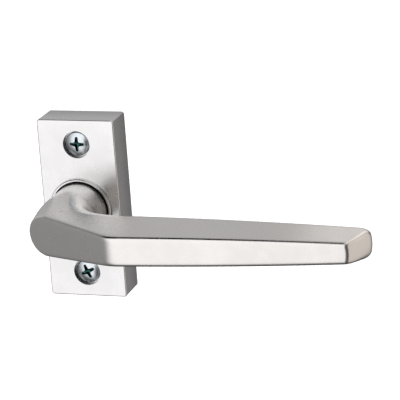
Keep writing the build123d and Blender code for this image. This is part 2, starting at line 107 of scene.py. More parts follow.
class LeverSizes(bpy.types.PropertyGroup):
    """The casting of the lever. Distances out are measured from the door."""

    nose: size("Nose", "Middle of the round nose, along the grip", -1.7 * MM)
    nose_half: size("Nose half height", "Half the height of the nose at the elbow", 6.6 * MM)
    tip_half: size("Tip half height", "Half the height of the outline at the tip", 2.83 * MM)
    reach: size("Reach", "From the spindle to the tip", 138.9 * MM)
    draft: degrees("Draft", "Slope of all sides towards the door", 8.0)
    neck: size("Neck", "Radius of the round neck", 12.3 * MM)
    neck_base: size("Neck base", "Where the neck starts, out of the door", 16.25 * MM)
    neck_chamfer: size("Neck chamfer", "Chamfer at the base of the neck", 0.6 * MM)
    hollow: size("Hollow", "Radius of the hollow between neck and grip", 16.0 * MM)
    back_out: size("Back", "Back of the grip beside the hollow, out of the door", 46.5 * MM)
    tip_back_out: size("Tip back", "Back of the grip at the tip, out of the door", 43.1 * MM)
    elbow: size("Elbow", "Place of the elbow, along the grip", 31.0 * MM)
    elbow_out: size("Elbow out", "Place of the elbow, out of the door", 69.0 * MM)
    elbow_round: size("Elbow round", "Radius between facet and face", 14.0 * MM)
    facet_angle: degrees("Facet", "Slant of the facet", 25.7)
    face_angle: degrees("Face", "Slant of the long face", 4.93)
    face_end: size("Face end", "End of the long face, along the grip", 130.0 * MM)
    end_bow: size("End bow", "Radius of the slight bow of the tip, up and down", 18.0 * MM)
    end_bow_long: size("End bow long", "Radius of the slight bow of the tip, in and out", 60.0 * MM)
    front_round: size("Front round", "Radius round the facet and the long face", 1.9 * MM)
    back_round: size("Back round", "Radius along the back of the grip", 3.5 * MM)
    neck_blend: size("Neck blend", "Radius where the neck runs into the sides", 15.0 * MM)
    grub_out: size("Grub screw", "Place of the grub screw, out of the door", 24.25 * MM)
    grub_hole: size("Grub hole", "Radius of the hole of the grub screw", 2.52 * MM)
    socket: size("Socket", "Half the side of the square socket", 4.05 * MM)
    socket_end: size("Socket end", "End of the socket, out of the door", 34.0 * MM)


class ShankSizes(bpy.types.PropertyGroup):
    """The turned shank of the lever, which the rose hides. Distances out are from the door."""

    journal: size("Journal", "Radius of the journal", 10.0 * MM)
    groove: size("Seal groove", "Radius at the bottom of the seal's groove", 8.65 * MM)
    groove_front: size("Groove front", "Front of the seal's groove, out of the door", 14.7 * MM)
    groove_back: size("Groove back", "Back of the seal's groove, out of the door", 12.9 * MM)
    seat: size("Cam seat", "Radius of the cam's seat", 8.5 * MM)
    flats: size("Cam flats", "Distance of the seat's flats from the axis", 7.0 * MM)
    seat_front: size("Seat front", "Front of the cam's seat, out of the door", 6.6 * MM)
    seat_end: size("Seat end", "Back of the cam's seat, out of the door", 2.0 * MM)
    clip: size("Clip groove", "Radius at the bottom of the circlip's groove", 8.05 * MM)
    clip_front: size("Clip front", "Front of the circlip's groove, out of the door", 3.5 * MM)
    clip_back: size("Clip back", "Back of the circlip's groove, out of the door", 2.5 * MM)
    spigot: size("Spigot", "Radius of the spigot", 7.0 * MM)
    spigot_end: size("Spigot end", "End of the spigot, out of the door", 0.3 * MM)


class ScrewSizes(bpy.types.PropertyGroup):
    """The two domed fixing screws and their cross recesses."""

    pitch: size("Spacing", "Between the two screws", 58.0 * MM)
    seat: size("Seat", "Distance of the underside of the heads from the door", 12.0 * MM)
    head_diameter: size("Head", "Diameter of the heads", 10.8 * MM)
    head_height: size("Head height", "From the underside to the crown", 2.6 * MM)
    crown: size("Crown", "Rise of the dome over its rim", 1.15 * MM)
    rim_round: size("Rim", "Rounding of the rim of the head", 0.9 * MM)
    waist_diameter: size("Waist", "Diameter of the bare part of the shank", 4.4 * MM)
    thread_diameter: size("Thread", "Diameter over the thread", 5.0 * MM)
    thread_pitch: size("Pitch", "From one turn of the thread to the next", 0.8 * MM)
    thread_depth: size("Thread depth", "Depth of the thread", 0.45 * MM)
    reach: size("Reach", "How far the screws stand in the door", 23.0 * MM)
    point: size("Point", "Chamfer at the end of the thread", 0.6 * MM)
    cross_span: size("Cross", "Span of the cross over two arms", 6.6 * MM)
    arm_root: size("Arm root", "Half width of an arm at the middle of the cross", 0.95 * MM)
    arm_tip: size("Arm tip", "Half width of an arm at its end", 0.64 * MM)
    heart: size("Heart", "Radius of the middle of the cross", 1.35 * MM)
    cross_depth: size("Cross depth", "Depth of the cross at its middle", 2.1 * MM)
    upper_turn: degrees("Upper cross", "Turn of the upper cross, anticlockwise", 0.0)
    lower_turn: degrees("Lower cross", "Turn of the lower cross, anticlockwise", 25.0)


class StudioSizes(bpy.types.PropertyGroup):
    """The floor, the lights and the camera."""

    floor_drop: size("Floor drop", "How far the floor lies below the spindle", 0.26)
    floor_span: size("Floor span", "Width of the floor", 9.0)
    floor_tone: colour("Floor", "Colour of the floor", (0.92, 0.92, 0.92))
    top_width: size("Top light", "Width of the light above the handle", 3.2)
    top_height: size("Top height", "Height of the light above the handle", 2.4)
    top_back: size("Top place", "How far the light above stands behind the handle", 0.6)
    top_power: FloatProperty(name="Top power", description="Light from above, in watts", default=95)
    glow_power: FloatProperty(name="Glow power", description="Light at the tip, in watts", default=0.0095)
    azimuth: degrees("Azimuth", "Turn of the camera to the right of the handle", 18.5)
    elevation: degrees("Elevation", "Height angle of the camera", 17.5)
    roll: degrees("Roll", "Turn of the picture, anticlockwise", 4.0)
    distance: size("Distance", "From the camera to the point it aims at", 0.95)
    aim_right: size("Aim right", "Aim, to the right of the spindle", 46.88 * MM)
    aim_up: size("Aim up", "Aim, above the spindle", -0.72 * MM)
    focal: FloatProperty(name="Lens", description="Focal length, in millimetres", default=194.2)


# Finishes

# Scales are counted in grains a metre. The spans say where a noise and the pointiness of an
# edge start and end to count
NOISE_ROUGHNESS = 0.55
NOISE_SPAN = (0.3, 0.7)
STAIN_SCALE = 45.0
SHEEN_SCALE = 160.0
WORN_EDGES = (0.53, 0.62)
BLOOM_SCALE = 120.0
DULL_SHEEN_SCALE = 300.0
DIMPLE_DEPTH = 0.005 * MM


def adder(tree):
    """A short way to add a node to a tree, with values for its inputs and its settings."""

    def add(kind, **values):
        node = tree.nodes.new(kind)
        for key, value in values.items():
            if key in node.inputs:
                node.inputs[key].default_value = value
            else:
                setattr(node, key, value)
        return node

    return add


def node_material(name):
    """A new material with its tree, its principled shader and a short way to add nodes."""
    material = bpy.data.materials.new(name)
    material.use_nodes = True
    tree = material.node_tree
    return material, tree, tree.nodes["Principled BSDF"], adder(tree)


def ramp(tree, add, value, start, full, low, high, **settings):
    """Goes from low to high while the value goes from start to full."""
    node = add("ShaderNodeMapRange", **settings)
    for key, number in (("From Min", start), ("From Max", full), ("To Min", low), ("To Max", high)):
        node.inputs[key].default_value = number
    tree.links.new(value, node.inputs["Value"])
    return node.outputs["Result"]


def mix(tree, add, amount, first, second):
    """Goes from the first colour to the second. A colour is three numbers or a socket."""
    node = add("ShaderNodeMix", data_type="RGBA")
    tree.links.new(amount, node.inputs[0])
    for tone, socket in ((first, node.inputs[6]), (second, node.inputs[7])):
        if isinstance(tone, bpy.types.NodeSocket):
            tree.links.new(tone, socket)
        else:
            socket.default_value = (*tone, 1)
    return node.outputs[2]


def toned(tone, factor, lift=0.0):
    """A colour made lighter or darker, within what a surface can reflect."""
    return [min(1.0, part * factor + lift) for part in tone]


def speckle(tree, add, place, scale, detail, low, high):
    """Noise of one scale over the piece, spread from low to high."""
    noise = add("ShaderNodeTexNoise", Scale=scale, Detail=detail, Roughness=NOISE_ROUGHNESS)
    tree.links.new(place, noise.inputs["Vector"])
    return ramp(tree, add, noise.outputs["Fac"], *NOISE_SPAN, low, high)


def metal(name, tone, roughness, grain, depth, wear=0.0, spread=0.05, deep_shade_tone=None, painted_shade=None):
    """Metal with blasted dimples, uneven sheen, slight staining and brighter worn edges. A deep
    tone is painted shade in a recess: the colour goes over to it where the attribute "recess" rises
    from 0 to 1. The other painted shade (a tone and two distances out of the door) darkens the colour
    from the second distance to the first."""
    material, tree, shader, add = node_material(name)
    link = tree.links.new
    place = add("ShaderNodeTexCoord").outputs["Object"]
    shader.inputs["Metallic"].default_value = 1.0
    stain = speckle(tree, add, place, STAIN_SCALE, 3.0, 0.0, 1.0)
    finish = mix(tree, add, stain, toned(tone, 0.97), toned(tone, 1.02))
    pointed = add("ShaderNodeNewGeometry").outputs["Pointiness"]
    worn = ramp(tree, add, pointed, *WORN_EDGES, 0.0, wear)
    finish = mix(tree, add, worn, finish, toned(tone, 1.1, 0.03))
    # Painted shade: the colour goes dark deep in a recess
    if deep_shade_tone:
        sunk = add("ShaderNodeAttribute", attribute_name="recess").outputs["Fac"]
        finish = mix(tree, add, sunk, finish, deep_shade_tone)
    # Painted shade: the colour darkens towards the door, from the second distance out to the first
    if painted_shade:
        shade_tone, low, high = painted_shade
        parts = add("ShaderNodeSeparateXYZ")
        link(place, parts.inputs[0])
        inwards = parts.outputs["Y"]
        shade_ramp = ramp(tree, add, inwards, -low, -high, 1.0, 0.0, interpolation_type="SMOOTHSTEP")
        finish = mix(tree, add, shade_ramp, finish, shade_tone)
    link(finish, shader.inputs["Base Color"])
    sheen = speckle(tree, add, place, SHEEN_SCALE, 4.0, roughness - spread, roughness + spread)
    link(sheen, shader.inputs["Roughness"])
    bump = add("ShaderNodeBump", Strength=0.35, Distance=depth)
    link(speckle(tree, add, place, 1.0 / grain, 2.0, 0.0, 1.0), bump.inputs["Height"])
    link(bump.outputs["Normal"], shader.inputs["Normal"])
    return material


def dull(name, tone, roughness, grain, depth, spread=0.06):
    """Plastic or rubber: a fine texture, uneven sheen and a faint bloom."""
    material, tree, shader, add = node_material(name)
    link = tree.links.new
    place = add("ShaderNodeTexCoord").outputs["Object"]
    bloom = speckle(tree, add, place, BLOOM_SCALE, 4.0, 0.0, 1.0)
    link(mix(tree, add, bloom, toned(tone, 0.8), toned(tone, 1.35)), shader.inputs["Base Color"])
    sheen = speckle(tree, add, place, DULL_SHEEN_SCALE, 3.0, roughness - spread, roughness + spread)
    link(sheen, shader.inputs["Roughness"])
    bump = add("ShaderNodeBump", Strength=0.4, Distance=depth)
    link(speckle(tree, add, place, 1.0 / grain, 2.0, 0.0, 1.0), bump.inputs["Height"])
    link(bump.outputs["Normal"], shader.inputs["Normal"])
    return material


def dress(names, material):
    """Gives CAD nodes their finish, and shades their curved faces smoothly between sharp edges."""
    for name in names:
        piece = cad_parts[name]
        piece.data.materials.clear()
        piece.data.materials.append(material)
        weld = piece.modifiers.new("Weld", "WELD")
        weld.merge_threshold = 0.001 * MM
        smooth = piece.modifiers.new("Weighted normals", "WEIGHTED_NORMAL")
        smooth.keep_sharp = True
        smooth.weight = 100


# Fine surfaces

SHARP_ANGLE = math.radians(32.0)
# Part of the rounding of a screw's rim that is taken across, and part of the depth of its cross
# at which the painted shade of the deep recess reaches its full colour
RIM_SHARE = 0.75
DEEP_SHARE = 0.3


def merge_small(first, second, soft):
    """The smaller of two arrays, with a round transition of the given width. Where they differ
    by less than the width, they are mixed and the product of their shares is taken off."""
    near = np.clip(0.5 + 0.5 * (second - first) / soft, 0, 1)
    return second * (1 - near) + first * near - soft * near * (1 - near)


def merge_large(first, second, soft):
    """The larger of two arrays, with a round transition of the given width."""
    return -merge_small(-first, -second, soft)


def ease(value, low, high):
    """Rises smoothly from 0 at low to 1 at high: three times the square less twice the cube."""
    spot = np.clip((value - low) / (high - low), 0, 1)
    return spot * spot * (3 - 2 * spot)


def skin(rings):
    """Corners and faces of a closed surface through rings of points. rings[i, j] runs from one
    pole to the other in i and round the axis in j. The first and the last ring are one point."""
    rows, columns = rings.shape[:2]
    corners = np.concatenate([rings[0, :1], rings[1:-1].reshape(-1, 3), rings[-1, :1]])
    index = 1 + np.arange((rows - 2) * columns).reshape(rows - 2, columns)
    after = np.roll(index, -1, axis=1)
    quads = np.stack([index[:-1], index[1:], after[1:], after[:-1]], axis=-1).reshape(-1, 4)
    first = np.stack([np.zeros(columns, int), index[0], after[0]], axis=-1)
    last = np.stack([np.full(columns, len(corners) - 1), after[-1], index[-1]], axis=-1)
    fans = np.concatenate([first, last])
    a, b, c = (corners[fans[:, k]] for k in range(3))
    volume = np.einsum("ij,ij->i", a, np.cross(b, c)).sum()
    for b_col, c_col in ((1, 2), (2, 3)):
        a, b, c = (corners[quads[:, k]] for k in (0, b_col, c_col))
        volume += np.einsum("ij,ij->i", a, np.cross(b, c)).sum()
    if volume < 0:
        quads, fans = quads[:, ::-1], fans[:, ::-1]
    return corners, quads, fans


def build_mesh(name, shells, recess=None):
    """One object from closed shells of corners, quads and triangles, smooth between sharp edges.
    Recess, where it is given, says for each corner how deep in a recess it lies, from 0 to 1."""
    corners, loops, totals, base = [], [], [], 0
    for points, quads, fans in shells:
        corners.append(points)
        for faces in (quads, fans):
            loops.append((faces + base).reshape(-1))
            totals.append(np.full(len(faces), faces.shape[1]))
        base += len(points)
    corners, loops, totals = np.concatenate(corners), np.concatenate(loops), np.concatenate(totals)
    mesh = bpy.data.meshes.new(name)
    mesh.vertices.add(len(corners))
    mesh.vertices.foreach_set("co", corners.astype(np.float32).reshape(-1))
    mesh.loops.add(len(loops))
    mesh.loops.foreach_set("vertex_index", loops.astype(np.int32))
    mesh.polygons.add(len(totals))
    mesh.polygons.foreach_set("loop_start", (np.cumsum(totals) - totals).astype(np.int32))
    mesh.update(calc_edges=True)
    mesh.validate()
    mesh.shade_smooth()
    mesh.set_sharp_from_angle(angle=SHARP_ANGLE)
    if recess is not None:
        values = mesh.attributes.new("recess", "FLOAT", "POINT")
        values.data.foreach_set("value", recess.astype(np.float32))
    piece = bpy.data.objects.new(name, mesh)
    bpy.context.scene.collection.objects.link(piece)
    return piece


def screw_head(sizes, angle, turn):
    """Radius, distance out and depth of the recess over the domed head. The head is a ball's cap.
    From it the cross is sunk: inside the outline of four tapered arms and a round heart the
    depth grows with the distance from the outline, up to a floor that rises with the radius."""
    rows, wall_slope, floor_slope = 92, 3.4, 0.34
    corner, foot = 0.35 * MM, 0.18 * MM
    rim, crown = sizes.head_diameter / 2, sizes.seat + sizes.head_height
    ball = (rim ** 2 + sizes.crown ** 2) / (2 * sizes.crown)
    radius = (rim - RIM_SHARE * sizes.rim_round) * np.linspace(0, 1, rows)[:, None] + 0 * angle
    dome = crown - ball + np.sqrt(ball ** 2 - radius ** 2)

    across, along = radius * np.cos(angle - turn), radius * np.sin(angle - turn)
    far, near = np.maximum(abs(across), abs(along)), np.minimum(abs(across), abs(along))
    arm_end = sizes.cross_span / 2 - sizes.arm_tip
    spot = np.clip(far, 0, arm_end)
    half_width = sizes.arm_root + (sizes.arm_tip - sizes.arm_root) * spot / arm_end
    outline = merge_small(np.hypot(far - spot, near) - half_width, radius - sizes.heart, corner)
    slope = np.clip(-wall_slope * outline, 0, None)
    floor = sizes.cross_depth - floor_slope * radius
    depth = np.clip(merge_small(slope, floor, foot), 0, None) * (outline < 0)
    return radius, dome, depth


def screw_side(sizes, edge_out):
    """Radius and distance out of the turned rings from the rim of the head to the thread."""
    undercut = 0.1 * MM
    rim, waist, seat = sizes.head_diameter / 2, sizes.waist_diameter / 2, sizes.seat
    bend = np.radians(np.arange(15, 91, 15))
    edge_radius = rim - RIM_SHARE * sizes.rim_round * (1 - np.sin(bend))
    edge = edge_out - sizes.rim_round * (1 - np.cos(bend))
    rings = list(zip(edge_radius, edge))
    rings += [(rim, seat + undercut), (rim - undercut, seat), (waist + undercut, seat)]
    rings += [(waist, seat), (waist, seat / 2), (waist, undercut / 2), (waist, 0.0)]
    return np.array(rings)


def screw_thread(sizes, angle):
    """Radius and distance out over the thread: a radius that falls and rises with the distance
    along the axis less the angle, and that the chamfer at the end cuts down."""
    rows_a_turn, flank, crest = 8, 1.25, 0.15
    rows = int(rows_a_turn * sizes.reach / sizes.thread_pitch)
    out = -np.linspace(0.02 * MM, sizes.reach, rows)[:, None] + 0 * angle
    phase = (out / sizes.thread_pitch - angle / (2 * np.pi)) % 1
    groove = sizes.thread_depth * np.clip(flank * abs(2 * phase - 1) - crest, 0, 1)
    cut = np.clip(sizes.point - sizes.reach - out, 0, None)
    return sizes.thread_diameter / 2 - np.maximum(groove, cut), out


def fixing_screw(sizes, height, turn, columns=128):
    """Rings of one fixing screw from its crown to its point, and for each corner how deep in the
    recess it lies, from 0 to 1, which sets the painted shade in the recess."""
    angle = np.linspace(0, 2 * np.pi, columns, endpoint=False)
    head_radius, dome, depth = screw_head(sizes, angle, turn)
    side = screw_side(sizes, dome[-1, 0])
    thread_radius, thread_out = screw_thread(sizes, angle)
    end = np.zeros((1, columns))
    radius = np.concatenate([head_radius, side[:, :1] + 0 * angle, thread_radius, end])
    out = np.concatenate([dome - depth, side[:, 1:] + 0 * angle, thread_out, end - sizes.reach])
    rings = np.stack([radius * np.cos(angle), -out, height + radius * np.sin(angle)], axis=-1)
    depths = np.concatenate([depth, np.zeros((len(radius) - len(depth), columns))])
    recess = np.clip(depths / (DEEP_SHARE * sizes.cross_depth), 0, 1)
    return rings, np.concatenate([recess[0, :1], recess[1:-1].reshape(-1), recess[-1, :1]])


class HANDLE_OT_build_screws(bpy.types.Operator):
    """Build the fixing screws, with domed heads, tapered crosses and threads"""

    bl_idname = "handle.build_screws"
    bl_label = "Fixing screws"

    def execute(self, context):
        look, sizes = context.scene.handle_metal, context.scene.handle_screws
        upper, upper_recess = fixing_screw(sizes, sizes.pitch / 2, sizes.upper_turn)
        lower, lower_recess = fixing_screw(sizes, -sizes.pitch / 2, sizes.lower_turn)
        piece = build_mesh(
            "fixing_screws_fine", [skin(upper), skin(lower)], np.concatenate([upper_recess, lower_recess])
        )
        # The dark deep tone is painted shade in the crosses
        piece.data.materials.append(
            metal(
                "blue zinc, threaded", look.zinc_tone, 0.2, 0.5 * MM, 0.004 * MM,
                wear=0.3, deep_shade_tone=look.recess_shade_tone,
            )
        )
        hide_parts("fixing_screws")
        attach(piece, "rose")
        return {"FINISHED"}


# The lever, computed as walls that run into each other. Along the grip: where the neck flares,
# where the tip's edges get their full width, and where the sides leave the neck
FLARE_SPAN = (-7 * MM, 9 * MM)
TIP_SPAN = (70 * MM, 110 * MM)
BLEND_SPAN = (0, 24 * MM)
# Behind the front: where the rounding of the edges goes over from that of the front
DEPTH_SPAN = (2 * MM, 12 * MM)
# Width of the transition between the back and the rest, and what the tip adds to it
BACK_SOFT = 0.2 * MM
TIP_SOFT = 4.6 * MM
# Place of the middle of the tip's bow, as a part of its width from the long face
BOW_MIDDLE = 0.3
# Sections round the hole of the grub screw: half their length along the neck, their distance
# from each other and from the coarse ones
HOLE_REACH = 3.1 * MM
FINE_STEP = 0.12 * MM
SECTION_GAP = 0.6 * MM
# Sections of the fan beside the hollow and of the grip, the middle of the fan's last one, along
# the grip, and the part of the grip over which they turn parallel to the end of the tip
FAN_ROWS = 76
GRIP_ROWS = 84
FAN_END = 26.4 * MM
TURN_SPAN = (0.4, 0.99)
# Distances of the last sections from the tip, in millimetres
TIP_STEPS = (
    5.4, 4.6, 3.9, 3.3, 2.8, 2.35, 1.95, 1.6, 1.3, 1.03,
    0.8, 0.6, 0.44, 0.31, 0.21, 0.135, 0.078, 0.038, 0.012,
)
STEP_BEFORE_TIP = 0.8 * MM
# Rays: their greatest length, how often it is halved, steps of the fine outline of a section,
# weight of turning in the sharing of the rays, and weight, width and span of the underside's
# near the hole of the grub screw
RAY_LIMIT = 45 * MM
HALVINGS = 34
OUTLINE_STEPS = 720
TURN_WEIGHT = 0.9
HOLE_WEIGHT = 0.8
HOLE_WIDTH = 0.21
HOLE_SPAN = (3 * MM, 7 * MM)
# Width of all transitions while the rays are shared out, and while the walls' slopes are found
OUTLINE_SOFT = 0.4 * MM
SLOPE_SOFT = 0.05 * MM
# Distance of the bottom of the grub screw's pit from the socket
PIT_FLOOR = 0.3 * MM


def hollow_middle(sizes):
    """Middle of the hollow between neck and grip: its distance from the spindle and out."""
    return sizes.neck + sizes.hollow, sizes.back_out - sizes.hollow


def face_end_out(sizes):
    """How far the end of the long face stands out of the door."""
    return sizes.elbow_out - (sizes.face_end - sizes.elbow) * math.tan(sizes.face_angle)


def front_wall(sizes, x, out):
    """Distance of points in front of the facet and the long face, round at the elbow."""
    slant, lean = math.tan(sizes.facet_angle), math.tan(sizes.face_angle)
    facet = (out - sizes.elbow_out + (sizes.elbow - x) * slant) * math.cos(sizes.facet_angle)
    face = (out - sizes.elbow_out + (x - sizes.elbow) * lean) * math.cos(sizes.face_angle)
    turn = 1 - math.cos(sizes.facet_angle + sizes.face_angle)
    return merge_large(facet, face, sizes.elbow_round * turn)


def side_wall(sizes, x, out, z):
    """Distance of points outside the drafted sides. Their outline at the plane of the elbow is a
    half circle round the nose and two arcs to the tip. It grows towards the door by the draft."""
    run, drop = sizes.reach - sizes.nose, sizes.nose_half - sizes.tip_half
    bow = (run ** 2 + drop ** 2) / (2 * drop)
    along = np.clip(x - sizes.nose, 0, run)
    half = sizes.nose_half - bow + np.sqrt(bow ** 2 - along ** 2)
    outline = np.where(x < sizes.nose, np.hypot(x - sizes.nose, z) - sizes.nose_half, abs(z) - half)
    return (outline - (sizes.elbow_out - out) * math.tan(sizes.draft)) * math.cos(sizes.draft)


def end_wall(sizes, x, out, z):
    """Distance of points beyond the end of the tip. A plane from the end of the long face to the
    reach, to which the squares of the distances from its middle are added, bows it slightly."""
    face_out = face_end_out(sizes)
    fall, run_out = face_out - sizes.tip_back_out, sizes.reach - sizes.face_end
    width = math.hypot(fall, run_out)
    end = ((x - sizes.face_end) * fall + (out - face_out) * run_out) / width
    down = ((x - sizes.face_end) * run_out - (out - face_out) * fall) / width
    end = end + (down - BOW_MIDDLE * width) ** 2 / (2 * sizes.end_bow_long)
    return end + z ** 2 / (2 * sizes.end_bow)


def neck_wall(sizes, x, out, z):
    """Distance of points outside the neck, the hollow and the back of the grip. Towards the nose
    the hollow goes over into the straight neck."""
    ring = np.hypot(x, z)
    middle_x, middle_out = hollow_middle(sizes)
    lean_back = (sizes.back_out - sizes.tip_back_out) / (sizes.reach - middle_x)
    back = sizes.back_out - lean_back * np.clip(x - middle_x, 0, None) - out
    arc = sizes.hollow - np.hypot(middle_x - ring, out - middle_out)
    flare = np.where(out < middle_out, ring - sizes.neck, np.where(ring > middle_x, back, arc))
    flared = ease(x, *FLARE_SPAN)
    return (ring - sizes.neck) * (1 - flared) + flare * flared


def lever_walls(sizes, x, out, z):
    """Distances of points outside two walls of the lever, negative inside. The first is the
    drafted side wall. The second is the furthest of the front, the end of the tip, and the neck
    with its hollow and the back of the grip behind it."""
    front, end = front_wall(sizes, x, out), end_wall(sizes, x, out, z)
    tip = merge_large(front, end, 0.5 * sizes.front_round)
    back_soft = BACK_SOFT + TIP_SOFT * ease(x, *TIP_SPAN)
    return side_wall(sizes, x, out, z), merge_large(tip, neck_wall(sizes, x, out, z), back_soft)


def ray_points(middle, heading, angle, far):
    """Points of the section planes at an angle and a distance from the middle of each section."""
    across = far * np.cos(angle)
    x = middle[:, :1] + across * heading[:, :1]
    out = middle[:, 1:] + across * heading[:, 1:]
    return x, out, far * np.sin(angle)


def shoot(sizes, middle, heading, angle, soft):
    """Distance to the surface along rays from the middle of each section, by halving steps."""
    low, high = np.zeros_like(angle), np.full_like(angle, RAY_LIMIT)
    for _ in range(HALVINGS):
        far = (low + high) / 2
        side, other = lever_walls(sizes, *ray_points(middle, heading, angle, far))
        inside = merge_large(side, other, soft) < 0
        low, high = np.where(inside, far, low), np.where(inside, high, far)
    return (low + high) / 2


def lever_soft(sizes, x, out, z):
    """Width of the transition between the side wall and the rest. It is a radius times one less
    the cosine between the two walls, so that it works as a rounding of that radius."""
    step = 0.02 * MM
    slopes = []
    for shift in np.eye(3) * step:
        ahead = lever_walls(sizes, x + shift[0], out + shift[1], z + shift[2])
        behind = lever_walls(sizes, x - shift[0], out - shift[1], z - shift[2])
        slopes.append([(a - b) / (2 * step) for a, b in zip(ahead, behind)])
    cosine = sum(first * second for first, second in slopes)
    slant = np.where(x < sizes.elbow, math.tan(sizes.facet_angle), math.tan(sizes.face_angle))
    front = sizes.elbow_out - abs(x - sizes.elbow) * slant
    depth = ease(front - out, *DEPTH_SPAN)
    radius = sizes.back_round + (sizes.neck_blend - sizes.back_round) * (1 - ease(x, *BLEND_SPAN))
    return (sizes.front_round + (radius - sizes.front_round) * depth) * np.clip(1 - cosine, 0, 2)


def lever_sections(sizes):
    """Middle and heading of each section, from the neck base round the hollow to the tip. Beside
    the hollow the sections turn round its axis. Near the tip they turn parallel to its end."""
    middle_x, middle_out = hollow_middle(sizes)
    fine = np.arange(sizes.grub_out - HOLE_REACH, sizes.grub_out + HOLE_REACH, FINE_STEP)
    start = np.linspace(sizes.neck_base + sizes.neck_chamfer, fine[0] - SECTION_GAP, 5)
    after = np.linspace(fine[-1] + SECTION_GAP, middle_out - SECTION_GAP, 4)
    necks = np.concatenate([start, fine, after])
    neck_middle = np.stack([0 * necks, necks], axis=-1)
    neck_heading = np.stack([-1 + 0 * necks, 0 * necks], axis=-1)

    fan = np.radians(np.linspace(0, 90, FAN_ROWS))
    fan_heading = np.stack([-np.cos(fan), np.sin(fan)], axis=-1)
    spoke = middle_x + (FAN_END - middle_x) * fan / fan[-1]
    fan_middle = np.array([middle_x, middle_out]) + spoke[:, None] * fan_heading

    face_out = face_end_out(sizes)
    run_out, fall = sizes.reach - sizes.face_end, face_out - sizes.tip_back_out
    end_middle = np.array([sizes.face_end, face_out]) + BOW_MIDDLE * np.array([run_out, -fall])
    run = np.linalg.norm(end_middle - fan_middle[-1])
    near = np.array(TIP_STEPS) * MM
    even_end = 1 - (near[0] + STEP_BEFORE_TIP) / run
    share_out = np.concatenate([np.linspace(0, even_end, GRIP_ROWS)[1:], 1 - near / run])
    grip_middle = fan_middle[-1] + share_out[:, None] * (end_middle - fan_middle[-1])
    lean = math.atan2(run_out, fall) * ease(share_out, *TURN_SPAN)
    grip_heading = np.stack([-np.sin(lean), np.cos(lean)], axis=-1)
    middle = np.concatenate([neck_middle, fan_middle, grip_middle])
    return middle, np.concatenate([neck_heading, fan_heading, grip_heading])


def share_angles(sizes, middle, heading, columns):
    """Angles of the rays of each section. Each step of a fine outline weighs its part of the
    length and of the turning, and near the hole of the grub screw also its nearness to the
    underside. The rays share out the running sum of the weights evenly."""
    angle = np.linspace(0, 2 * np.pi, OUTLINE_STEPS + 1) + 0 * middle[:, :1]
    far = shoot(sizes, middle, heading, angle, OUTLINE_SOFT)
    steps = np.diff(np.stack([far * np.cos(angle), far * np.sin(angle)], axis=-1), axis=1)
    length = np.linalg.norm(steps, axis=-1)
    bearing = np.arctan2(steps[..., 1], steps[..., 0])
    turn = abs((np.diff(bearing, axis=1, append=bearing[:, :1]) + np.pi) % (2 * np.pi) - np.pi)
    turn = (turn + np.roll(turn, 1, axis=1)) / 2
    spread = sum(np.roll(turn, k, axis=1) for k in range(-3, 4)) / 7
    bottom = np.exp(-(((angle[:, 1:] - 1.5 * np.pi) / HOLE_WIDTH) ** 2))
    on_neck = middle[:, :1] < 1 * MM
    drill = on_neck * (1 - ease(abs(middle[:, 1:] - sizes.grub_out), *HOLE_SPAN))
    weight = length / length.sum(1, keepdims=True)
    weight = weight + TURN_WEIGHT * spread / spread.sum(1, keepdims=True)
    weight = weight + HOLE_WEIGHT * drill * bottom / bottom.sum(1, keepdims=True)
    reach = np.cumsum(weight, axis=1)
    reach = np.concatenate([np.zeros((len(reach), 1)), reach / reach[:, -1:]], axis=1)
    # Each row is shifted past the one before it, so that one call reads all rows
    rows = np.arange(len(reach))[:, None] * 2.0
    wanted = np.linspace(0, 1, columns, endpoint=False) + rows
    found = np.interp(wanted.reshape(-1), (reach + rows).reshape(-1), angle.reshape(-1))
    return found.reshape(wanted.shape)


def shank_rings(sizes, shank, columns):
    """Rings of the shank from the base of the neck to the door, and of the square socket in it.
    Each is a radius and a distance out. The radius of the cam's seat is that of a circle cut by
    two flats, and that of the socket is half its side over the larger of cosine and sine."""
    angle = np.linspace(0, 2 * np.pi, columns, endpoint=False)
    cosine, sine = np.cos(angle), np.sin(angle)
    flats = np.minimum(shank.seat, shank.flats / np.maximum(abs(sine), 1e-9))
    square = sizes.socket / np.maximum(abs(cosine), abs(sine))
    turned = (
        (sizes.neck - sizes.neck_chamfer, sizes.neck_base), (shank.journal, sizes.neck_base),
        (shank.journal, shank.groove_front), (shank.groove, shank.groove_front),
        (shank.groove, shank.groove_back), (shank.journal, shank.groove_back),
        (shank.journal, shank.seat_front), (flats, shank.seat_front),
        (flats, shank.clip_front), (shank.clip, shank.clip_front),
        (shank.clip, shank.clip_back), (flats, shank.clip_back),
        (flats, shank.seat_end), (shank.spigot, shank.seat_end),
        (shank.spigot, shank.spigot_end), (square, shank.spigot_end),
        (square, sizes.socket_end), (0 * angle, sizes.socket_end),
    )
    rings = [(-radius * cosine, out + 0 * angle, radius * sine) for radius, out in turned]
    return np.array(rings).transpose(0, 2, 1)


def lever_rings(sizes, shank, columns=192):
    """Rings of the lever from the middle of its tip to the end of its square socket. The outer
    rings are found along rays, and the hole of the grub screw is a pit in them."""
    middle, heading = lever_sections(sizes)
    angle = share_angles(sizes, middle, heading, columns)
    far = shoot(sizes, middle, heading, angle, SLOPE_SOFT)
    soft = lever_soft(sizes, *ray_points(middle, heading, angle, far))
    far = shoot(sizes, middle, heading, angle, soft)
    x, out, z = ray_points(middle, heading, angle, far)
    hole = (np.hypot(x, out - sizes.grub_out) < sizes.grub_hole) & (z < 0) & (x < sizes.neck / 2)
    far = np.where(hole, sizes.socket + PIT_FLOOR, far)
    body = np.stack(ray_points(middle, heading, angle, far), axis=-1)
    tip = body[-1:]
    core = tip.mean(axis=1, keepdims=True)
    cap = [core + (tip - core) * part for part in (0.0, 0.5)]
    rings = np.concatenate([*cap, body[::-1], shank_rings(sizes, shank, columns)])
    return np.stack([rings[..., 0], -rings[..., 1], rings[..., 2]], axis=-1)


